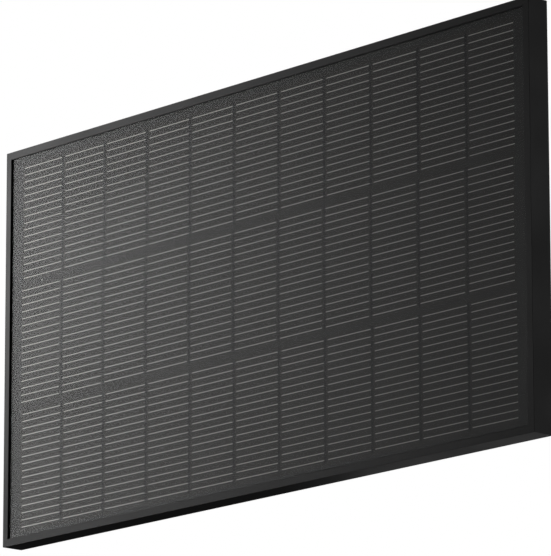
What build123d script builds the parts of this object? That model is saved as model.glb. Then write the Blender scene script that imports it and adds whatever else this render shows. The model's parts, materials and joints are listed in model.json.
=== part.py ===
from build123d import *
import os

os.makedirs("parts", exist_ok=True)

# Solar panel: 33 half-cut cells behind glass in an aluminium frame, standing upright.
# +X runs along the long side, to the right as seen from the glass side. +Y runs from the
# glass to the back, and +Z is up. The origin is the centre of the rear mounting plane:
# the frame's rear flanges end on Y = 0, and everything else lies in front of them.
# All lengths are in millimetres.

# Frame
panel_width = 1085.0
panel_height = 587.0
frame_depth = 35.0
frame_wall = 1.6
lip_width = 11.0
lip_thickness = 2.0
lip_inner_bevel = 0.7
frame_edge_radius = 0.3
shelf_thickness = 1.5
chamber_height = 12.0           # along Y, the hollow that takes the corner keys
long_flange = 25.0
short_flange = 16.0
slot_length = 14.0
slot_width = 9.0
slot_inset = 15.0               # from the frame's outer face to the slots' centre line
slot_spacing = 540.0
ground_hole_radius = 2.1
ground_hole_spacing = 820.0
key_leg = 42.0
key_clearance = 0.15
key_teeth = 4
key_tooth_start = 7.0           # from the key's inner corner to its first tooth
key_tooth_pitch = 6.0
key_tooth_width = 1.5
key_tooth_depth = 0.8

# Laminate, thicknesses from the front to the back
laminate_inset = 3.0            # from the frame's outer face to the laminate's edge
seal_gap = 0.6
sealant_setback = 0.5           # from the lip's inner edge to the sealant
glass_thickness = 3.2
front_encapsulant_thickness = 0.55
film_thickness = 0.1
ribbon_thickness = 0.2
cell_thickness = 0.2
rear_encapsulant_thickness = 0.65
insulation_thickness = 0.1
backsheet_thickness = 0.4

# Cells and ribbons
columns = 11
cell_width = 91.0
cell_height = 182.0
cell_gap = 2.0
block_drop = 1.8                # the cell block sits this far below the panel's centre
ribbons_per_cell = 17
upper_ribbons = 9
ribbon_pitch = 10.4
middle_ribbon_pitch = 9.65      # between the upper and the lower ribbons of a cell
ribbon_width = 1.1
ribbon_inset = 4.8              # from a ribbon's free end to the cell's edge
film_width = 4.6
film_overhang = 4.5             # past the first and the last ribbon of a cell
mask_overlap = 1.4              # of an end mask over the outer cells
mask_gap = 0.8                  # from an end mask to the frame's lip
bus_width = 5.0
bus_offset = 5.5                # from the cell block's edge to a bus's centre line
bus_overhang = 2.0              # past the outer ribbons that a bus takes up
insulation_margin = 1.5         # on either side of the return lead

# Blank label, on the back
label_x = 380.0
label_z = 55.0
label_width = 100.0
label_height = 70.0
label_thickness = 0.15
label_corner = 3.0

# Junction box, on the back near the left end
box_x = -430.0
box_width = 96.0
box_height = 72.0
box_depth = 18.0
box_wall = 2.5
box_floor = 2.0
box_corner = 4.0
box_below_gap = 8.0             # the box's centre lies this far below the upper row gap
pad_thickness = 1.0
lid_gap = 0.3
lid_thickness = 2.2
lid_skirt = 1.5
hinge_pin_radius = 1.5
hinge_bore_clearance = 0.06
knuckle_radius = 3.2
knuckle_length = 8.0
pad_inset = 2.0
lid_wall = 1.2
lid_panel_inset = 3.0
lid_panel_thickness = 1.0
seal_width = 1.3
hinge_spacing = 68.0
hinge_pin_half_length = 39.0
latch_spacing = 77.0
tongue_half_width = 5.0
catch_half_width = 3.0

# Terminals, inside the box
terminal_rise = 6.8             # from the box's floor to the back of the contact plates
contact_thickness = 0.8
contact_half_height = 3.4
carrier_thickness = 1.5
screw_radius = 1.5
screw_hole_radius = 1.55
screw_head_radius = 2.6
screw_head_height = 1.8
screw_slot_half_width = 0.35
diode_radius = 2.6
diode_end_gap = 3.9             # from a diode's body to the line of the plates' centres
diode_wire_radius = 0.6
diode_wire_overlap = 2.5

# Cable glands, in the box's lower wall
gland_spacing = 44.0
gland_setback = 8.4             # from the box's rim to a gland's axis
boss_height = 1.5
boss_rim = 1.9
barrel_radius = 6.0
barrel_length = 10.0
barrel_clearance = 0.1
collar_flats = 14.6
sleeve_radius = 5.6
gland_bore_radius = 3.6
seal_seat_radius = 4.7
seal_radius = 4.6
cap_nose_radius = 6.6
cap_bore_radius = 5.7
cap_mouth_radius = 3.8
cable_radius = 3.05

# Places worked out from the dimensions above
half_width = panel_width / 2
half_height = panel_height / 2
front_face = -frame_depth
glass_front = front_face + lip_thickness + seal_gap
glass_back = glass_front + glass_thickness
ribbon_front = glass_back + front_encapsulant_thickness
cell_front = ribbon_front + ribbon_thickness
cell_back = cell_front + cell_thickness
rear_ribbon_back = cell_back + ribbon_thickness
lead_front = rear_ribbon_back + insulation_thickness
lead_back = lead_front + ribbon_thickness
rear_encapsulant_back = rear_ribbon_back + rear_encapsulant_thickness
film_front = ribbon_front - film_thickness
laminate_back = rear_encapsulant_back + backsheet_thickness
shelf_front = laminate_back + seal_gap
chamber_front = shelf_front + shelf_thickness
chamber_back = chamber_front + chamber_height

column_pitch = cell_width + cell_gap
row_pitch = cell_height + cell_gap
block_half = (columns * column_pitch - cell_gap) / 2
row_centres = [row_pitch - block_drop, -block_drop, -row_pitch - block_drop]
row_names = ["top", "middle", "bottom"]
row_directions = [1, -1, 1]
ribbon_span = (ribbons_per_cell - 2) * ribbon_pitch + middle_ribbon_pitch
upper_row_gap = row_centres[0] - row_pitch / 2
lower_row_gap = row_centres[1] - row_pitch / 2
bus_x = block_half + bus_offset
lead_rise = cell_gap / 2 + (cell_height - ribbon_span) / 2 + ribbon_pitch / 2

box_z = upper_row_gap - box_below_gap
box_back = laminate_back + pad_thickness
box_floor_face = box_back + box_floor
box_rim = box_back + box_depth
box_top = box_z + box_height / 2
box_bottom = box_z - box_height / 2
lead_slot_x = box_x - 36.0
lead_slot_half = 3.0
lead_slot_half_height = lead_rise + 5.0
terminal_back = box_floor_face + terminal_rise
contact_start = lead_slot_x + 5.0
contact_end = box_x + 24.0
screw_places = [lead_slot_x + 11.0, box_x + 20.0]
hinge_y = box_rim - 1.2
hinge_z = box_top + knuckle_radius + 0.4
gland_y = box_rim - gland_setback


def block(x0, x1, y0, y1, z0, z1):
    """A box given by its limits along each axis."""
    centre = Pos((x0 + x1) / 2, (y0 + y1) / 2, (z0 + z1) / 2)
    return centre * Box(abs(x1 - x0), abs(y1 - y0), abs(z1 - z0))


def plate(half_x, half_z, y0, y1, z_centre=0.0):
    """A rectangular sheet centred on the panel's middle, square to Y."""
    return block(-half_x, half_x, y0, y1, z_centre - half_z, z_centre + half_z)


def cylinder_x(x0, x1, y, z, radius):
    return Pos((x0 + x1) / 2, y, z) * Rot(0, 90, 0) * Cylinder(radius, x1 - x0)


def cylinder_y(x, y0, y1, z, radius):
    return Pos(x, (y0 + y1) / 2, z) * Rot(90, 0, 0) * Cylinder(radius, y1 - y0)


def cylinder_z(x, y, z0, z1, radius):
    return Pos(x, y, (z0 + z1) / 2) * Cylinder(radius, z1 - z0)


def hexagon_z(x, y, z0, z1, across_flats):
    """A hexagonal prism along Z with two flats facing along Y."""
    outline = RegularPolygon(across_flats / 2, 6, major_radius=False)
    return Pos(x, y, z0) * extrude(outline, z1 - z0)


def rounded_block(x0, x1, y0, y1, z0, z1, radius):
    """A box whose four edges along Y are rounded."""
    return fillet(block(x0, x1, y0, y1, z0, z1).edges().filter_by(Axis.Y), radius)


def save(name, *solids):
    """Write one node. Several solids stay separate solids of that node."""
    shape = solids[0] if len(solids) == 1 else Compound(children=list(solids))
    export_step(shape, f"parts/{name}.step")


# ---- Frame ----

def rail_section(flange):
    """The extrusion's section: X is inward from the outer face, Y is the panel's Y."""
    outline = make_face(Polyline(
        (0, front_face),
        (lip_width, front_face),
        (lip_width, front_face + lip_thickness),
        (frame_wall, front_face + lip_thickness),
        (frame_wall, shelf_front),
        (lip_width, shelf_front),
        (lip_width, chamber_back + shelf_thickness),
        (frame_wall, chamber_back + shelf_thickness),
        (frame_wall, -frame_wall),
        (flange, -frame_wall),
        (flange, 0),
        (0, 0),
        close=True,
    ))
    outer = outline.vertices().filter_by(lambda v: v.X < 0.01)
    outline = fillet(outer, frame_edge_radius)
    lip_corner = outline.vertices().filter_by(
        lambda v: abs(v.X - lip_width) < 0.01 and abs(v.Y - front_face) < 0.01)
    outline = chamfer(lip_corner, lip_inner_bevel)
    hollow_width = lip_width - frame_wall - shelf_thickness
    hollow = Pos(frame_wall + hollow_width / 2, chamber_front + chamber_height / 2) * Rectangle(
        hollow_width, chamber_height)
    return outline - hollow


def rail(length, flange):
    """One mitred rail along X, its outer face on Z = 0 and its inside towards +Z."""
    section_plane = Plane(origin=(-length / 2, 0, 0), x_dir=(0, 0, 1), z_dir=(-1, 0, 0))
    bar = extrude(section_plane * rail_section(flange), -length)
    reach = flange + 10.0
    mitre = make_face(Polyline(
        (-length / 2, 0),
        (length / 2, 0),
        (length / 2 - reach, reach),
        (-length / 2 + reach, reach),
        close=True,
    ))
    back_plane = Plane(origin=(0, 0, 0), x_dir=(1, 0, 0), z_dir=(0, -1, 0))
    return bar & extrude(back_plane * mitre, frame_depth + 5.0)


def long_rail():
    """A long rail with its two mounting slots and two grounding holes in the rear flange."""
    bar = rail(panel_width, long_flange)
    slot = extrude(Plane.XZ * SlotOverall(slot_length, slot_width), 3 * frame_wall, both=True)
    for side in (-1, 1):
        bar -= Pos(side * slot_spacing / 2, 0, slot_inset) * slot
        hole_x = side * ground_hole_spacing / 2
        bar -= cylinder_y(hole_x, -3 * frame_wall, frame_wall, slot_inset, ground_hole_radius)
    return bar


def corner_key():
    """An L-shaped key in the lower left corner, with crimping teeth across its legs."""
    low = frame_wall + key_clearance
    high = lip_width - shelf_thickness - key_clearance
    front = chamber_front + key_clearance
    back = chamber_back - key_clearance
    key = block(low, key_leg, front, back, low, high) + block(low, high, front, back, low, key_leg)
    for i in range(key_teeth):
        start = high + key_tooth_start + key_tooth_pitch * i
        end = start + key_tooth_width
        key -= block(start, end, front, back, high - key_tooth_depth, high)
        key -= block(high - key_tooth_depth, high, front, back, start, end)
    return Pos(-half_width, 0, -half_height) * key


def glazing_sealant():
    """The bead that fills the frame's groove round the laminate."""
    groove_front = front_face + lip_thickness
    ring = plate(half_width - frame_wall, half_height - frame_wall, groove_front, shelf_front)
    inner = lip_width - sealant_setback
    ring -= plate(half_width - inner, half_height - inner, front_face, 0)
    return ring - plate(
        half_width - laminate_inset, half_height - laminate_inset, glass_front, laminate_back)


def build_frame():
    save("frame_rail_bottom", Pos(0, 0, -half_height) * long_rail())
    save("frame_rail_top", Pos(0, 0, half_height) * Rot(0, 180, 0) * long_rail())
    save("frame_rail_left", Pos(-half_width, 0, 0) * Rot(0, 90, 0) * rail(panel_height, short_flange))
    save("frame_rail_right", Pos(half_width, 0, 0) * Rot(0, -90, 0) * rail(panel_height, short_flange))
    lower_left = corner_key()
    save("corner_key_bottom_left", lower_left)
    save("corner_key_bottom_right", mirror(lower_left, Plane.YZ))
    save("corner_key_top_left", mirror(lower_left, Plane.XY))
    save("corner_key_top_right", Rot(0, 180, 0) * lower_left)
    save("glazing_sealant", glazing_sealant())


# ---- Laminate ----

def cell_left(column):
    return -block_half + column * column_pitch


def ribbon_heights():
    """Heights of a cell's ribbons above the cell's centre, from the top down."""
    heights = []
    for i in range(ribbons_per_cell):
        drop = i * ribbon_pitch
        if i >= upper_ribbons:
            drop -= ribbon_pitch - middle_ribbon_pitch
        heights.append(ribbon_span / 2 - drop)
    return heights


def film_strips():
    """Dark strips over the gaps between columns, one for each gap and row."""
    strips = []
    for centre in row_centres:
        reach = ribbon_span / 2 + film_overhang
        for column in range(1, columns):
            x = cell_left(column) - cell_gap / 2
            strips.append(block(x - film_width / 2, x + film_width / 2, film_front, ribbon_front,
                                centre - reach, centre + reach))
    return strips


def end_masks():
    """Dark films over the buses at the left and right ends of the cell block."""
    inner = block_half - mask_overlap
    outer = half_width - lip_width - mask_gap
    reach = half_height - lip_width - mask_gap
    return [block(side * inner, side * outer, film_front, ribbon_front, -reach, reach) for side in (-1, 1)]


def cells(centre):
    low = centre - cell_height / 2
    return [block(cell_left(c), cell_left(c) + cell_width, cell_front, cell_back, low, low + cell_height)
            for c in range(columns)]


def ribbon_link(column, direction):
    """A ribbon from the front of one cell, down through the gap, to the back of the next."""
    start = cell_left(column) + ribbon_inset
    bend = cell_left(column) + cell_width + 0.3
    landing = cell_left(column + 1) - 0.3
    end = cell_left(column + 1) + cell_width - ribbon_inset
    front_side = [(start, ribbon_front), (bend, ribbon_front), (landing, cell_back), (end, cell_back)]
    back_side = [(end, rear_ribbon_back), (landing, rear_ribbon_back), (bend, cell_front), (start, cell_front)]
    outline = front_side + back_side
    face = make_face(Polyline(*[(direction * x, y) for x, y in outline], close=True))
    return extrude(face, ribbon_width / 2, both=True)


def ribbons(centre, direction):
    """All ribbons of one string: an end piece, the links between cells, and an end piece."""
    bus_edge = bus_x + bus_width / 2
    half = ribbon_width / 2
    first = block(direction * -bus_edge, direction * (cell_left(0) + cell_width - ribbon_inset),
                  cell_back, rear_ribbon_back, -half, half)
    last = block(direction * (cell_left(columns - 1) + ribbon_inset), direction * bus_edge,
                 ribbon_front, cell_front, -half, half)
    line = [first, last] + [ribbon_link(c, direction) for c in range(columns - 1)]
    return [Pos(0, 0, centre + height) * piece for height in ribbon_heights() for piece in line]


def bus(side, top, bottom):
    """A bus beside the cells, in the cells' own layer, between two heights."""
    x = side * bus_x
    return block(x - bus_width / 2, x + bus_width / 2, cell_front, cell_back, bottom, top)


def lead_tab(z):
    """The end of a lead: it rises through the slot and turns onto its contact plate."""
    half = bus_width / 2
    thin = ribbon_thickness / 2
    tab = block(lead_slot_x - thin, lead_slot_x + thin, lead_front, terminal_back + ribbon_thickness,
                z - half, z + half)
    tab += block(lead_slot_x - thin, lead_slot_x + 16, terminal_back, terminal_back + ribbon_thickness,
                 z - half, z + half)
    return tab - cylinder_y(screw_places[0], terminal_back - 1, terminal_back + 1, z, screw_hole_radius)


def side_lead(z):
    """A lead from the left bus, behind the cells, to the junction box."""
    half = bus_width / 2
    bus_edge = -bus_x - half
    lead = block(bus_edge, bus_edge + bus_width, cell_back, lead_back, z - half, z + half)
    lead += block(bus_edge, lead_slot_x + ribbon_thickness / 2, lead_front, lead_back, z - half, z + half)
    return lead + lead_tab(z)


def return_path(y0, y1, margin):
    """The way back from the right end: along the lower string, up, and into the slot."""
    z_low = lower_row_gap - lead_rise
    half = bus_width / 2 + margin
    x_turn = lead_slot_x + 12
    path = block(x_turn - half, bus_x - bus_width / 2 - 1, y0, y1, z_low - half, z_low + half)
    path += block(x_turn - half, x_turn + half, y0, y1, z_low - half, upper_row_gap + half)
    path += block(lead_slot_x + ribbon_thickness / 2, x_turn + half, y0, y1,
                  upper_row_gap - half, upper_row_gap + half)
    return path


def return_lead():
    z_low = lower_row_gap - lead_rise
    half = bus_width / 2
    lead = return_path(lead_front, lead_back, 0.0)
    lead += block(bus_x - half - 1, bus_x + half, lead_front, lead_back, z_low - half, z_low + half)
    lead += block(bus_x - half, bus_x + half, cell_back, lead_back, z_low - half, z_low + half)
    return lead + lead_tab(upper_row_gap)


def lead_insulation():
    """Thin sheets that keep the leads off the backs of the cells."""
    inner = -bus_x + bus_width / 2 + 1
    sheet = block(inner, lead_slot_x - lead_slot_half, rear_ribbon_back, lead_front,
                  upper_row_gap - lead_slot_half_height, upper_row_gap + lead_slot_half_height)
    path = return_path(rear_ribbon_back, lead_front, insulation_margin)
    return [sheet, path - lead_slot(rear_ribbon_back - 1, lead_front + 1)]


def lead_slot(y0, y1):
    """The cut that lets the three leads out of the laminate."""
    return block(lead_slot_x - lead_slot_half, lead_slot_x + lead_slot_half, y0, y1,
                 upper_row_gap - lead_slot_half_height, upper_row_gap + lead_slot_half_height)


def rear_encapsulant(leads, insulation):
    """The sheet behind the cells, with a rim round them and cuts for the leads."""
    half_x = half_width - laminate_inset
    half_z = half_height - laminate_inset
    sheet = plate(half_x, half_z, rear_ribbon_back, rear_encapsulant_back)
    rim = plate(half_x, half_z, ribbon_front, rear_ribbon_back)
    well_x = bus_x + bus_width / 2 + 1.5
    well_z = 1.5 * row_pitch + 1.0
    rim -= plate(well_x, well_z, ribbon_front, rear_ribbon_back, -block_drop)
    sheet += rim
    for piece in leads + insulation:
        sheet -= piece
    return sheet - lead_slot(rear_ribbon_back, rear_encapsulant_back)


def build_laminate():
    half_x = half_width - laminate_inset
    half_z = half_height - laminate_inset
    save("front_glass", plate(half_x, half_z, glass_front, glass_back))
    strips = film_strips()
    masks = end_masks()
    sheet = plate(half_x, half_z, glass_back, ribbon_front)
    for piece in strips + masks:
        sheet -= piece
    save("front_encapsulant", sheet)
    save("column_gap_films", *strips)
    save("end_masks", *masks)
    for name, centre, direction in zip(row_names, row_centres, row_directions):
        save(f"cell_string_{name}", *cells(centre))
        save(f"ribbons_{name}", *ribbons(centre, direction))
    reach = ribbon_span / 2 + bus_overhang
    save("positive_end_bus", bus(-1, row_centres[0] + reach, row_centres[0] - reach))
    save("negative_end_bus", bus(1, row_centres[2] + reach, row_centres[2] - reach))
    save("cross_bus_right", bus(1, row_centres[0] + reach, row_centres[1] - reach))
    save("cross_bus_left", bus(-1, row_centres[1] + reach, row_centres[2] - reach))
    positive = side_lead(upper_row_gap + lead_rise)
    middle = side_lead(upper_row_gap - lead_rise)
    back_lead = return_lead()
    insulation = lead_insulation()
    save("lead_positive", positive)
    save("lead_middle", middle)
    save("lead_return", back_lead)
    save("lead_insulation", *insulation)
    save("rear_encapsulant", rear_encapsulant([positive, middle, back_lead], insulation))
    backsheet = plate(half_x, half_z, rear_encapsulant_back, laminate_back)
    save("backsheet", backsheet - lead_slot(rear_encapsulant_back, laminate_back))
    label_back = laminate_back + label_thickness
    save("blank_label", rounded_block(
        label_x - label_width / 2, label_x + label_width / 2, laminate_back, label_back,
        label_z - label_height / 2, label_z + label_height / 2, label_corner))


# ---- Junction box ----

def box_outline(y0, y1, inset=0.0):
    """A slice of the box's outer shape between two depths, shrunk by an inset."""
    return rounded_block(box_x - box_width / 2 + inset, box_x + box_width / 2 - inset, y0, y1,
                         box_bottom + inset, box_top - inset, box_corner - inset)


def gland_places():
    return [("left", box_x - gland_spacing / 2), ("right", box_x + gland_spacing / 2)]


def knuckle(x0, x1, bore_radius, foot):
    """A hinge eye round the pin's axis, joined to its part by a foot."""
    eye = cylinder_x(x0, x1, hinge_y, hinge_z, knuckle_radius) + foot
    return eye - cylinder_x(x0 - 1, x1 + 1, hinge_y, hinge_z, bore_radius)


def box_base():
    """The open box, with the lead slot, two hinge eyes, two catches and the bosses for the glands."""
    base = box_outline(box_back, box_rim) - box_outline(box_floor_face, box_rim, box_wall)
    base -= lead_slot(box_back, box_floor_face)
    for side in (-1, 1):
        x0 = box_x + side * hinge_spacing / 2 - knuckle_length / 2
        x1 = x0 + knuckle_length
        foot = block(x0, x1, hinge_y - knuckle_radius, box_rim - 1.2, box_top - 0.5, hinge_z)
        base += knuckle(x0, x1, hinge_pin_radius, foot)
        x = box_x + side * latch_spacing / 2
        base += block(x - catch_half_width, x + catch_half_width, box_rim - 5.0, box_rim - 3.0,
                      box_bottom - 1.0, box_bottom)
    hole_radius = barrel_radius + barrel_clearance
    for _, x in gland_places():
        base += cylinder_z(x, gland_y, box_bottom - boss_height, box_bottom, barrel_radius + boss_rim)
        base -= cylinder_z(x, gland_y, box_bottom - 2, box_bottom + box_wall + 1, hole_radius)
    return base


def box_lid():
    """A shallow cap with a raised panel, two hinge eyes and two snap tongues."""
    skirt_front = box_rim + lid_gap
    plate_front = skirt_front + lid_skirt
    plate_back = plate_front + lid_thickness
    panel_back = plate_back + lid_panel_thickness
    lid = box_outline(skirt_front, plate_back) - box_outline(skirt_front, plate_front, lid_wall)
    lid += box_outline(plate_back, panel_back, lid_panel_inset)
    lid = fillet(lid.edges().filter_by_position(Axis.Y, panel_back - 0.1, panel_back + 0.1), 0.6)
    for side in (-1, 1):
        x0 = box_x + side * (hinge_spacing / 2 - knuckle_length - lid_gap) - knuckle_length / 2
        x1 = x0 + knuckle_length
        foot = block(x0, x1, skirt_front, plate_back - 0.5, box_top - 1, hinge_z)
        lid += knuckle(x0, x1, hinge_pin_radius + hinge_bore_clearance, foot)
        x = box_x + side * latch_spacing / 2
        left = x - tongue_half_width
        right = x + tongue_half_width
        tongue_back = plate_back - 0.6
        tongue = block(left, right, box_rim - 7.0, tongue_back, box_bottom - 2.8, box_bottom - 1.4)
        tongue += block(left, right, skirt_front + 0.2, tongue_back, box_bottom - 1.6, box_bottom + 1)
        window = catch_half_width + 0.5
        lid += tongue - block(x - window, x + window, box_rim - 5.5, box_rim - 2.5,
                              box_bottom - 3, box_bottom - 1)
    grip = block(box_x - 10, box_x + 10, plate_front, plate_back - 0.4, box_bottom - 2.6, box_bottom + 1)
    return lid + grip


def lid_seal():
    """The rubber ring under the lid, just inside its skirt."""
    front = box_rim + lid_gap
    back = front + lid_skirt
    outer = lid_wall + 0.1
    return box_outline(front, back, outer) - box_outline(front, back, outer + seal_width)


def terminal_heights():
    return [upper_row_gap + lead_rise, upper_row_gap, upper_row_gap - lead_rise]


def terminal_carrier():
    """A moulded plate with a rib under each contact plate."""
    rib_back = terminal_back - contact_thickness
    top = box_z + box_height / 2 - box_wall - 2.5
    low = upper_row_gap - lead_rise - 7.0
    start = contact_start - 1
    carrier = block(start, contact_end + 6, box_floor_face, box_floor_face + carrier_thickness, low, top)
    half = contact_half_height + 0.1
    for z in terminal_heights():
        carrier += block(start, contact_end + 2, box_floor_face, rib_back, z - half, z + half)
        for x in screw_places:
            carrier -= cylinder_y(x, rib_back - 4.0, rib_back, z, screw_hole_radius)
    return carrier


def contact_plate(z):
    sheet = block(contact_start, contact_end, terminal_back - contact_thickness, terminal_back,
                  z - contact_half_height, z + contact_half_height)
    for x in screw_places:
        sheet -= cylinder_y(x, terminal_back - 2, terminal_back + 1, z, screw_hole_radius)
    return sheet


def terminal_screw(x, z, under_head):
    """A cross-slotted screw whose head rests on a given depth."""
    head = cylinder_y(x, under_head, under_head + screw_head_height, z, screw_head_radius)
    slot = screw_slot_half_width
    head -= block(x - 2.0, x + 2.0, under_head + 1.0, under_head + 2, z - slot, z + slot)
    head -= block(x - slot, x + slot, under_head + 1.0, under_head + 2, z - 2.0, z + 2.0)
    return head + cylinder_y(x, terminal_back - 4.5, under_head, z, screw_radius)


def bypass_diode(x, z):
    """An axial diode whose wires lie on the plates above and below it."""
    y = terminal_back + diode_wire_radius
    body_half = lead_rise / 2 - diode_end_gap
    wire_half = lead_rise / 2 + diode_wire_overlap
    body = cylinder_z(x, y, z - body_half, z + body_half, diode_radius)
    return body + cylinder_z(x, y, z - wire_half, z + wire_half, diode_wire_radius)


def build_box():
    pad = box_outline(laminate_back, box_back, pad_inset)
    save("junction_box_pad", pad - lead_slot(laminate_back, box_back))
    save("junction_box_base", box_base())
    save("junction_box_lid", box_lid())
    save("lid_seal", lid_seal())
    pin = cylinder_x(box_x - hinge_pin_half_length, box_x + hinge_pin_half_length,
                     hinge_y, hinge_z, hinge_pin_radius)
    save("hinge_pin", chamfer(pin.edges(), 0.3))
    save("terminal_carrier", terminal_carrier())
    for name, z in zip(["positive", "return", "middle"], terminal_heights()):
        save(f"contact_plate_{name}", contact_plate(z))
    screws = []
    for z in terminal_heights():
        screws.append(terminal_screw(screw_places[0], z, terminal_back + ribbon_thickness))
        screws.append(terminal_screw(screw_places[1], z, terminal_back))
    save("terminal_screws", *screws)
    save("bypass_diode_upper", bypass_diode(box_x + 2.0, upper_row_gap + lead_rise / 2))
    save("bypass_diode_lower", bypass_diode(box_x + 10.0, upper_row_gap - lead_rise / 2))


# ---- Cable glands: distances below are measured down from the box's boss ----

def gland_body(x, boss):
    """The barrel through the box's wall, the hexagonal collar and the sleeve that holds the seal."""
    body = cylinder_z(x, gland_y, boss, boss + barrel_length, barrel_radius)
    body += hexagon_z(x, gland_y, boss - 4.0, boss, collar_flats)
    body += cylinder_z(x, gland_y, boss - 14.0, boss - 4.0, sleeve_radius)
    body -= cylinder_z(x, gland_y, boss - 15.0, boss + barrel_length + 1, gland_bore_radius)
    return body - cylinder_z(x, gland_y, boss - 15.0, boss - 6.0, seal_seat_radius)


def gland_seal(x, boss):
    ring = cylinder_z(x, gland_y, boss - 14.0, boss - 6.2, seal_radius)
    return ring - cylinder_z(x, gland_y, boss - 15.0, boss, cable_radius)


def gland_cap(x, boss):
    """The cap nut over the sleeve, with a rounded nose that the cable passes through."""
    cap = hexagon_z(x, gland_y, boss - 13.0, boss - 4.4, collar_flats)
    cap += cylinder_z(x, gland_y, boss - 17.5, boss - 13.0, cap_nose_radius)
    end_edge = cap.edges().filter_by(GeomType.CIRCLE).sort_by(Axis.Z)[0]
    cap = fillet(end_edge, 1.5)
    cap -= cylinder_z(x, gland_y, boss - 14.4, boss, cap_bore_radius)
    return cap - cylinder_z(x, gland_y, boss - 20.0, boss, cap_mouth_radius)


def gland_locknut(x):
    """The nut that holds a gland's barrel, on the inside of the box's wall."""
    inside = box_bottom + box_wall
    nut = hexagon_z(x, gland_y, inside, inside + 3.0, collar_flats)
    return nut - cylinder_z(x, gland_y, inside - 1, inside + 4, barrel_radius + barrel_clearance / 2)


def build_glands():
    boss = box_bottom - boss_height
    for name, x in gland_places():
        save(f"gland_body_{name}", gland_body(x, boss))
        save(f"gland_seal_{name}", gland_seal(x, boss))
        save(f"gland_cap_{name}", gland_cap(x, boss))
        save(f"gland_locknut_{name}", gland_locknut(x))


build_frame()
build_laminate()
build_box()
build_glands()
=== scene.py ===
import json
import math

import bpy
from mathutils import Matrix, Vector

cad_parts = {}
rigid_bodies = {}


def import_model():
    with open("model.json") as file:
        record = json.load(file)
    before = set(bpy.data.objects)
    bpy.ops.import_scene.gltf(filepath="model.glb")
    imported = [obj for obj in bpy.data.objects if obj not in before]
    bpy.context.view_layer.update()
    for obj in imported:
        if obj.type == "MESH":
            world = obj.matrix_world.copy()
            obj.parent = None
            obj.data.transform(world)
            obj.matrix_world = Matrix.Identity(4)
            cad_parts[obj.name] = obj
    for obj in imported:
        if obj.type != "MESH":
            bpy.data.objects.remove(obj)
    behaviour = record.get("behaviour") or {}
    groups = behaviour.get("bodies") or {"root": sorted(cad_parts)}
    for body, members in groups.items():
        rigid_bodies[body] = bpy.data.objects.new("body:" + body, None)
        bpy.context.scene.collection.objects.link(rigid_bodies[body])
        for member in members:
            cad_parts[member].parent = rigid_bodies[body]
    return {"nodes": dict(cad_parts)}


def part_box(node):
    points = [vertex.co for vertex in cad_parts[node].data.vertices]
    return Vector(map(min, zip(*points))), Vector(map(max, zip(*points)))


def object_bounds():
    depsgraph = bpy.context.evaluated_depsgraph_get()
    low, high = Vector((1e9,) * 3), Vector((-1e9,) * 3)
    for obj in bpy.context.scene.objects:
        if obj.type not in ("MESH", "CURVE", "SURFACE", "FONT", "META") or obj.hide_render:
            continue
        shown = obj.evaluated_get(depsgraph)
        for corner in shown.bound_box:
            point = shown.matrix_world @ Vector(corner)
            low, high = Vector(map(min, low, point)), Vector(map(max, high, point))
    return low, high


# Blender's own default objects would count in the bounds
for leftover in list(bpy.data.objects):
    bpy.data.objects.remove(leftover)
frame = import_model()
cad_low, cad_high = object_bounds()
nodes = frame["nodes"]

MM = 0.001

# Camera: a long lens from the lower right, in front of the glass
CAMERA_AZIMUTH = math.radians(47.865)
CAMERA_ELEVATION = math.radians(-13.533)
CAMERA_ROLL = math.radians(-0.118)
CAMERA_DISTANCE = 7.1044
CAMERA_LENS = 334.9
CAMERA_AIM = Vector((0.0451, cad_low.y, 0.0004))
CAMERA_REACH = 100.0

# Stage
FLOOR_DROP = 2.3
FLOOR_RADIUS = 17.0
FLOOR_SIDES = 96
FLOOR_GLOW = 0.8                # what the camera sees of the floor
WORLD_LIGHT = 0.018

# Glass and the dark layers behind it
GLASS_GLOSS = 1.24
GLASS_ROUGHNESS = 0.45
GLASS_TINT = (0.97, 0.975, 0.97, 1)
DARK_LAYER = (0.030, 0.030, 0.0305)
FINGER_PITCH = 1.4 * MM         # of the fine printed lines on a cell
FINGER_SHARE = 0.06             # of the pitch that a line takes up

# Each lamp: its place, the point that it faces, its width and height, and its power in watts
LAMPS = {
    "key_high": ((-1.5, -0.75, 0.8), (-0.3, 0, 0), 0.6, 0.6, 2.5),
    "key": ((-1.5, -0.75, 0.4), (-0.3, 0, 0), 0.6, 0.6, 0.75),
    "key_near": ((-1.3, -0.5, 0.25), (-0.3, 0, 0), 0.5, 0.5, 1.85),
    "key_wide": ((-1.9, -1.6, 0.8), (-0.3, 0, 0), 0.9, 0.9, 1.3),
    "key_low": ((-1.25, -0.55, -0.45), (-0.3, 0, 0), 0.5, 0.5, 4.2),
    "low_back": ((-0.5, 0.95, -0.62), (0.4, 0, -0.29), 0.5, 0.5, 0.15),
    "right_back": ((3.4, 2.6, 0.9), (0.54, 0, 0), 1.5, 1.5, 5.8),
    "top_back": ((-0.9, 3.0, 2.2), (0, 0, 0), 2.5, 2.0, 260.0),
}


# ---- Node helpers ----

def add(tree, kind, inputs=None, **settings):
    """A new node with its settings, and with its inputs linked or set."""
    made = tree.nodes.new(kind)
    for name, value in settings.items():
        setattr(made, name, value)
    for name, value in (inputs or {}).items():
        if isinstance(value, bpy.types.NodeSocket):
            tree.links.new(value, made.inputs[name])
        else:
            made.inputs[name].default_value = value
    return made


def coordinates(tree, scale=(1, 1, 1)):
    """The piece's own coordinates, in metres times a scale for each axis."""
    here = add(tree, "ShaderNodeTexCoord").outputs["Object"]
    return add(tree, "ShaderNodeVectorMath", {0: here, 1: scale}, operation="MULTIPLY").outputs[0]


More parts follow.
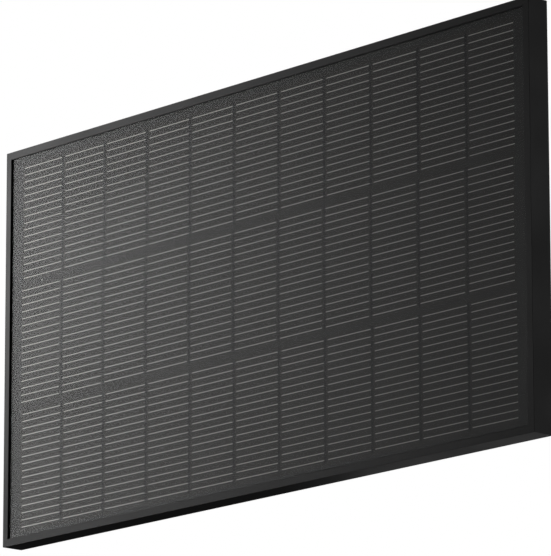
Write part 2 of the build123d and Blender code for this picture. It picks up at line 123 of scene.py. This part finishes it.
def noise(tree, scale, detail=2.0, stretch=(1, 1, 1)):
    """Noise from 0 to 1, with grains of about 1 / scale metres."""
    vector = coordinates(tree, stretch)
    inputs = {"Vector": vector, "Scale": scale, "Detail": detail}
    return add(tree, "ShaderNodeTexNoise", inputs).outputs["Fac"]


def spread(tree, value, low, high, start=0.3, end=0.7):
    """A value between start and end, mapped to one between low and high."""
    made = add(tree, "ShaderNodeMapRange", {"Value": value, "From Min": start, "From Max": end,
                                            "To Min": low, "To Max": high})
    return made.outputs[0]


def arithmetic(tree, operation, a, b=0.0):
    return add(tree, "ShaderNodeMath", {0: a, 1: b}, operation=operation).outputs[0]


def blend(tree, factor, a, b):
    """A colour between a and b."""
    made = add(tree, "ShaderNodeMix", {0: factor, 6: (*a, 1) if isinstance(a, tuple) else a,
                                       7: (*b, 1) if isinstance(b, tuple) else b}, data_type="RGBA")
    return made.outputs[2]


def relief(tree, height, depth):
    """A bump whose height of 1 stands for a depth in metres."""
    inputs = {"Height": height, "Distance": depth, "Strength": 1.0}
    return add(tree, "ShaderNodeBump", inputs).outputs[0]


def new_material(name):
    """An empty material and the node tree that it is built in."""
    made = bpy.data.materials.new(name)
    made.use_nodes = True
    made.node_tree.nodes.clear()
    return made, made.node_tree


def close(tree, shader):
    add(tree, "ShaderNodeOutputMaterial", {"Surface": shader})


def surface(tree, colour, roughness, normal, metallic=0.0, **more):
    """The principled shader of a material, as its output."""
    inputs = {"Base Color": colour, "Roughness": roughness, "Normal": normal, "Metallic": metallic}
    inputs.update({name.replace("_", " "): value for name, value in more.items()})
    close(tree, add(tree, "ShaderNodeBsdfPrincipled", inputs).outputs[0])


def edge_mask(tree, radius):
    """About 1 on the sharp edges of a piece, and 0 on its faces."""
    soft = add(tree, "ShaderNodeBevel", {"Radius": radius}, samples=6).outputs[0]
    true = add(tree, "ShaderNodeNewGeometry").outputs["Normal"]
    level = add(tree, "ShaderNodeVectorMath", {0: soft, 1: true}, operation="DOT_PRODUCT").outputs["Value"]
    return spread(tree, level, 1.0, 0.0, 0.75, 0.97)


# ---- Materials ----

def anodised_black(name, run):
    """Black anodised extrusion. run is the axis along which it was drawn."""
    made, tree = new_material(name)
    drawn = tuple(0.004 if axis == run else 1.0 for axis in "xyz")
    lines = noise(tree, 1400, 3.0, drawn)
    cloud = noise(tree, 9, 3.0)
    grain = noise(tree, 5200, 1.0)
    deep = (0.0085, 0.0085, 0.0087)
    pale = (0.0125, 0.0125, 0.0128)
    tone = blend(tree, spread(tree, lines, 0.0, 1.0), deep, pale)
    tone = blend(tree, spread(tree, cloud, 0.0, 0.35), tone, (0.014, 0.014, 0.0145))
    # Edges paler in patches, up to a grey of 0.06: partly rubbed anodising, partly a painted highlight
    # along the sharp edges of the frame.
    patches = spread(tree, noise(tree, 60, 4.0), 0.0, 0.5)
    worn = arithmetic(tree, "MULTIPLY", edge_mask(tree, 0.5 * MM), patches)
    tone = blend(tree, worn, tone, (0.06, 0.06, 0.062))
    rough = arithmetic(tree, "ADD", spread(tree, grain, 0.36, 0.44), spread(tree, cloud, -0.03, 0.03))
    height = arithmetic(tree, "ADD", arithmetic(tree, "MULTIPLY", lines, 0.6), grain)
    surface(tree, tone, rough, relief(tree, height, 0.012 * MM), Specular_IOR_Level=0.42)
    return made


def solar_glass(glass_middle):
    """Matt solar glass: clear, with a broad soft gloss on its front face alone.

    Only what the eye sees through it is bent. Light from the lamps goes straight through.
    """
    made, tree = new_material("front_glass")
    here = add(tree, "ShaderNodeTexCoord").outputs["Object"]
    depth = add(tree, "ShaderNodeSeparateXYZ", {0: here}).outputs["Y"]
    front = arithmetic(tree, "LESS_THAN", depth, glass_middle)
    inside = add(tree, "ShaderNodeNewGeometry").outputs["Backfacing"]
    outside = arithmetic(tree, "SUBTRACT", front, inside)
    eye = add(tree, "ShaderNodeLightPath").outputs["Is Camera Ray"]
    dimples = relief(tree, noise(tree, 900, 2.0), 0.0035 * MM)
    fresnel = add(tree, "ShaderNodeFresnel", {"IOR": 1.45, "Normal": dimples}).outputs[0]
    strong = arithmetic(tree, "MULTIPLY", fresnel, GLASS_GLOSS)
    limited = add(tree, "ShaderNodeMath", {0: outside, 1: strong}, operation="MULTIPLY", use_clamp=True)
    gloss = limited.outputs[0]
    shine = add(tree, "ShaderNodeBsdfAnisotropic",
                {"Color": (1, 1, 1, 1), "Roughness": GLASS_ROUGHNESS, "Normal": dimples})
    clear = add(tree, "ShaderNodeBsdfTransparent", {"Color": GLASS_TINT})
    bent = add(tree, "ShaderNodeBsdfRefraction", {"Color": GLASS_TINT, "Roughness": 0.0, "IOR": 1.5})
    bending = arithmetic(tree, "MULTIPLY", front, eye)
    through = add(tree, "ShaderNodeMixShader", {0: bending, 1: clear.outputs[0], 2: bent.outputs[0]})
    mixed = add(tree, "ShaderNodeMixShader", {0: gloss, 1: through.outputs[0], 2: shine.outputs[0]})
    close(tree, mixed.outputs[0])
    return made


def clear_film(name):
    """Encapsulant: clear, with a trace of milkiness."""
    made, tree = new_material(name)
    milk = add(tree, "ShaderNodeBsdfDiffuse", {"Color": (0.5, 0.5, 0.5, 1)})
    clear = add(tree, "ShaderNodeBsdfTransparent", {"Color": (0.98, 0.98, 0.98, 1)})
    share = spread(tree, noise(tree, 700, 2.0), 0.0005, 0.0015)
    mixed = add(tree, "ShaderNodeMixShader", {0: share, 1: clear.outputs[0], 2: milk.outputs[0]})
    close(tree, mixed.outputs[0])
    return made


def silicon():
    """A half-cut cell: near black, with fine upright fingers and a faint cloud."""
    made, tree = new_material("cell")
    here = add(tree, "ShaderNodeTexCoord").outputs["Object"]
    across = add(tree, "ShaderNodeSeparateXYZ", {0: here}).outputs["X"]
    place = arithmetic(tree, "FRACT", arithmetic(tree, "DIVIDE", across, FINGER_PITCH))
    finger = arithmetic(tree, "LESS_THAN", place, FINGER_SHARE)
    cloud = noise(tree, 14, 3.0)
    crystals = noise(tree, 4000, 1.0)
    deep = (0.0255, 0.0230, 0.0200)
    pale = (0.0315, 0.0290, 0.0255)
    tone = blend(tree, spread(tree, cloud, 0.0, 1.0), deep, pale)
    tone = blend(tree, arithmetic(tree, "MULTIPLY", finger, 0.25), tone, (0.12, 0.12, 0.12))
    surface(tree, tone, spread(tree, crystals, 0.55, 0.65), relief(tree, crystals, 0.01 * MM))
    return made


def metal(name, colour, roughness, metallic=1.0, stretch=(1, 1, 1), stain=None):
    """A plain metal with fine grain, faint clouds and optional staining."""
    made, tree = new_material(name)
    fine = noise(tree, 1800, 3.0, stretch)
    cloud = noise(tree, 70, 3.0)
    dull = tuple(0.72 * c for c in colour)
    tone = blend(tree, spread(tree, fine, 0.0, 1.0), colour, dull)
    if stain:
        tone = blend(tree, spread(tree, cloud, 0.0, 0.5, 0.45, 0.75), tone, stain)
    rough = arithmetic(tree, "ADD", spread(tree, fine, roughness - 0.06, roughness + 0.06),
                       spread(tree, cloud, -0.04, 0.04))
    surface(tree, tone, rough, relief(tree, fine, 0.008 * MM), metallic)
    return made


def moulded(name, colour, roughness=0.5, grain=1500, depth=0.03 * MM, wear=0.4):
    """Moulded plastic or rubber: an even fine texture, clouded gloss and edges rubbed a little paler."""
    made, tree = new_material(name)
    fine = noise(tree, grain, 2.0)
    cloud = noise(tree, 45, 3.0)
    pale = tuple(min(1.0, 1.9 * c + 0.01) for c in colour)
    deep = tuple(0.8 * c for c in colour)
    tone = blend(tree, spread(tree, cloud, 0.0, 1.0), colour, deep)
    patches = spread(tree, cloud, 0.0, wear, 0.35, 0.65)
    worn = arithmetic(tree, "MULTIPLY", edge_mask(tree, 0.6 * MM), patches)
    tone = blend(tree, worn, tone, pale)
    rough = arithmetic(tree, "ADD", spread(tree, fine, roughness - 0.05, roughness + 0.05),
                       spread(tree, cloud, -0.05, 0.05))
    surface(tree, tone, rough, relief(tree, fine, depth))
    return made


def blank_label():
    """A pale satin label with a thin grey border and nothing on it."""
    made, tree = new_material("label")
    low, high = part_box("blank_label")
    middle = (low + high) / 2
    here = add(tree, "ShaderNodeTexCoord").outputs["Object"]
    place = add(tree, "ShaderNodeSeparateXYZ", {0: here})
    gaps = []
    for axis, centre, edge in (("X", middle.x, high.x), ("Z", middle.z, high.z)):
        out = arithmetic(tree, "ABSOLUTE", arithmetic(tree, "SUBTRACT", place.outputs[axis], centre))
        gaps.append(arithmetic(tree, "SUBTRACT", edge - centre, out))
    inset = arithmetic(tree, "MINIMUM", gaps[0], gaps[1])
    past = arithmetic(tree, "GREATER_THAN", inset, 3.0 * MM)
    before = arithmetic(tree, "LESS_THAN", inset, 3.8 * MM)
    border = arithmetic(tree, "MULTIPLY", past, before)
    fibres = noise(tree, 1600, 3.0)
    cloud = noise(tree, 60, 3.0)
    tone = blend(tree, spread(tree, cloud, 0.0, 1.0), (0.62, 0.62, 0.61), (0.7, 0.7, 0.69))
    tone = blend(tree, border, tone, (0.12, 0.12, 0.12))
    surface(tree, tone, spread(tree, fibres, 0.35, 0.5), relief(tree, fibres, 0.006 * MM))
    return made


def dress(node, material):
    """Give every material slot of a CAD node one material."""
    for place in nodes[node].material_slots:
        place.link = "OBJECT"
        place.material = material


def dress_all():
    glass_low, glass_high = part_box("front_glass")
    finish = {
        "key_metal": metal("key_metal", (0.72, 0.72, 0.71), 0.38, stretch=(1, 1, 0.05)),
        "sealant": moulded("sealant", (0.012, 0.012, 0.012), 0.45, 500, 0.05 * MM),
        "front_glass": solar_glass((glass_low.y + glass_high.y) / 2),
        "encapsulant": clear_film("encapsulant"),
        "rear_encapsulant": moulded("rear_encapsulant", DARK_LAYER, 0.6, 1100, 0.01 * MM, 0.0),
        "cell": silicon(),
        "ribbon": metal("ribbon", (1.0, 0.965, 0.92), 0.5, metallic=0.55),
        "dark_film": moulded("dark_film", (0.012, 0.012, 0.0135), 0.8, 1200, 0.01 * MM, 0.0),
        "bus_metal": metal("bus_metal", (0.7, 0.68, 0.65), 0.35),
        "insulation": moulded("insulation", (0.026, 0.026, 0.0265), 0.6, 900, 0.01 * MM),
        "backsheet": moulded("backsheet", (0.026, 0.026, 0.0265), 0.55, 1100, 0.02 * MM, 0.0),
        "label": blank_label(),
        "box_plastic": moulded("box_plastic", (0.02, 0.02, 0.021)),
        "pad": moulded("pad", (0.05, 0.05, 0.05), 0.8, 900, 0.08 * MM),
        "seal_rubber": moulded("seal_rubber", (0.03, 0.03, 0.03), 0.7, 1200, 0.03 * MM),
        "pin_steel": metal("pin_steel", (0.62, 0.62, 0.6), 0.25, stretch=(0.05, 1, 1)),
        "contact_brass": metal("contact_brass", (0.75, 0.6, 0.34), 0.3, stretch=(0.1, 1, 1),
                               stain=(0.4, 0.27, 0.13)),
        "screw_steel": metal("screw_steel", (0.7, 0.69, 0.65), 0.3),
        "diode": moulded("diode", (0.015, 0.015, 0.015), 0.35, 900, 0.01 * MM),
        "gland_plastic": moulded("gland_plastic", (0.018, 0.018, 0.019), 0.45, 1300, 0.02 * MM),
    }
    for name, node in nodes.items():
        slot = node.material_slots[0].material.name
        if slot == "frame_black":
            continue
        dress(name, finish[slot])
    dress("end_masks", moulded("end_mask", DARK_LAYER, 0.6, 1200, 0.01 * MM, 0.0))
    long_run = anodised_black("frame_black_long", "x")
    short_run = anodised_black("frame_black_short", "z")
    for side in ("top", "bottom"):
        dress(f"frame_rail_{side}", long_run)
    for side in ("left", "right"):
        dress(f"frame_rail_{side}", short_run)


def part_layers():
    """Draw the clear layers in by a hair, so that no two faces lie in one plane."""
    gaps = {"front_glass": 0.01 * MM, "front_encapsulant": 0.03 * MM, "rear_encapsulant": 0.03 * MM}
    for name, gap in gaps.items():
        weld = nodes[name].modifiers.new("weld", "WELD")
        weld.merge_threshold = 0.002 * MM
        shrink = nodes[name].modifiers.new("shrink", "DISPLACE")
        shrink.direction = "NORMAL"
        shrink.mid_level = 0.0
        shrink.strength = -gap


# ---- Stage ----

def make_world():
    world = bpy.data.worlds.new("studio")
    world.use_nodes = True
    tree = world.node_tree
    tree.nodes.clear()
    seen = add(tree, "ShaderNodeBackground", {"Color": (1, 1, 1, 1), "Strength": 1.0})
    light = add(tree, "ShaderNodeBackground", {"Color": (1, 1, 1, 1), "Strength": WORLD_LIGHT})
    to_camera = add(tree, "ShaderNodeLightPath").outputs["Is Camera Ray"]
    mixed = add(tree, "ShaderNodeMixShader", {0: to_camera, 1: light.outputs[0], 2: seen.outputs[0]})
    add(tree, "ShaderNodeOutputWorld", {"Surface": mixed.outputs[0]})
    bpy.context.scene.world = world
    bpy.context.scene.view_settings.view_transform = "Standard"


def make_floor():
    mesh = bpy.data.meshes.new("floor")
    angles = [2 * math.pi * i / FLOOR_SIDES for i in range(FLOOR_SIDES)]
    ring = [(FLOOR_RADIUS * math.cos(angle), FLOOR_RADIUS * math.sin(angle), 0) for angle in angles]
    mesh.from_pydata(ring, [], [list(range(FLOOR_SIDES))])
    floor = bpy.data.objects.new("floor", mesh)
    floor.location.z = cad_low.z - FLOOR_DROP
    bpy.context.scene.collection.objects.link(floor)
    made, tree = new_material("floor")
    matt = add(tree, "ShaderNodeBsdfDiffuse", {"Color": (0.1, 0.1, 0.1, 1)})
    glow = add(tree, "ShaderNodeEmission", {"Color": (1, 1, 1, 1), "Strength": FLOOR_GLOW})
    to_camera = add(tree, "ShaderNodeLightPath").outputs["Is Camera Ray"]
    mixed = add(tree, "ShaderNodeMixShader", {0: to_camera, 1: matt.outputs[0], 2: glow.outputs[0]})
    close(tree, mixed.outputs[0])
    mesh.materials.append(made)


def make_lights():
    for name, (place, aim, width, height, power) in LAMPS.items():
        data = bpy.data.lights.new(name, "AREA")
        data.shape = "RECTANGLE"
        data.size = width
        data.size_y = height
        data.energy = power
        light = bpy.data.objects.new(name, data)
        light.location = place
        light.rotation_mode = "QUATERNION"
        light.rotation_quaternion = (Vector(aim) - Vector(place)).to_track_quat("-Z", "Y")
        light.visible_camera = False
        bpy.context.scene.collection.objects.link(light)


def make_camera():
    data = bpy.data.cameras.new("camera")
    data.lens = CAMERA_LENS
    data.clip_end = CAMERA_REACH
    camera = bpy.data.objects.new("camera", data)
    level = math.cos(CAMERA_ELEVATION)
    back = Vector((
        math.sin(CAMERA_AZIMUTH) * level,
        -math.cos(CAMERA_AZIMUTH) * level,
        math.sin(CAMERA_ELEVATION),
    ))
    right = Vector((math.cos(CAMERA_AZIMUTH), math.sin(CAMERA_AZIMUTH), 0))
    up = back.cross(right)
    right_rolled = right * math.cos(CAMERA_ROLL) + up * math.sin(CAMERA_ROLL)
    up_rolled = up * math.cos(CAMERA_ROLL) - right * math.sin(CAMERA_ROLL)
    turn = Matrix((right_rolled, up_rolled, back)).transposed()
    camera.matrix_world = Matrix.Translation(CAMERA_AIM + back * CAMERA_DISTANCE) @ turn.to_4x4()
    bpy.context.scene.collection.objects.link(camera)
    bpy.context.scene.camera = camera


dress_all()
part_layers()
make_world()
make_floor()
make_lights()
make_camera()
